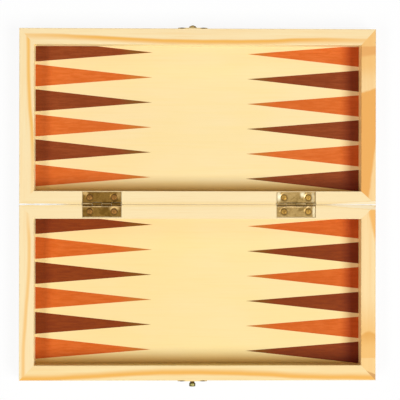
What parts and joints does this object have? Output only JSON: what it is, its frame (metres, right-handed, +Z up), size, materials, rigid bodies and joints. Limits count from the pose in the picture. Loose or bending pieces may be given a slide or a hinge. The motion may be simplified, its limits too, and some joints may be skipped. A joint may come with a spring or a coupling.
{
  "type": "folding wooden games box",
  "caption": "Folding wooden games box lying open, with backgammon points inside and a chequered board outside.",
  "frame": {"origin": "on the table under the middle of the fold line, with the box lying open", "axes": "+X along the fold line, to the right seen from the base tray's front; +Y from the base tray to the lid tray; +Z up, out of the open trays"},
  "size_m": [0.29, 0.2943, 0.0237],
  "materials": {
    "pine": "satin lacquer",
    "panel_wood": "satin lacquer",
    "dark_veneer": "satin lacquer",
    "orange_veneer": "satin lacquer",
    "walnut_veneer": "satin lacquer",
    "brass": "lightly tarnished",
    "steel": "plain"
  },
  "bodies": {
    "base": {"base_front_rail": "pine", "base_back_rail": "pine", "base_left_rail": "pine", "base_right_rail": "pine", "base_panel": "panel_wood", "base_dark_points": "dark_veneer", "base_orange_points": "orange_veneer", "base_dark_squares": "walnut_veneer", "left_hinge_base_leaf": "brass", "left_hinge_pin": "steel", "left_hinge_base_screws": "brass", "right_hinge_base_leaf": "brass", "right_hinge_pin": "steel", "right_hinge_base_screws": "brass", "peg_plate": "brass", "catch_peg": "brass", "peg_plate_screws": "brass"},
    "lid": {"lid_front_rail": "pine", "lid_back_rail": "pine", "lid_left_rail": "pine", "lid_right_rail": "pine", "lid_panel": "panel_wood", "lid_dark_points": "dark_veneer", "lid_orange_points": "orange_veneer", "lid_dark_squares": "walnut_veneer", "left_hinge_lid_leaf": "brass", "left_hinge_lid_screws": "brass", "right_hinge_lid_leaf": "brass", "right_hinge_lid_screws": "brass", "hook_plate": "brass", "hook_spacer": "brass", "hook_rivet": "brass", "hook_plate_screws": "brass"},
    "hook": {"hook_arm": "brass"}
  },
  "joints": [
    {"name": "fold", "type": "hinge", "parent": "base", "child": "lid", "pos_m": [0, 0, 0.02225], "axis": [1, 0, 0], "range_deg": [0, 180]},
    {"name": "hook_swing", "type": "hinge", "parent": "lid", "child": "hook", "pos_m": [-0.0043, 0.14465, 0.0173], "axis": [0, 1, 0], "range_deg": [0, 180]}
  ]
}
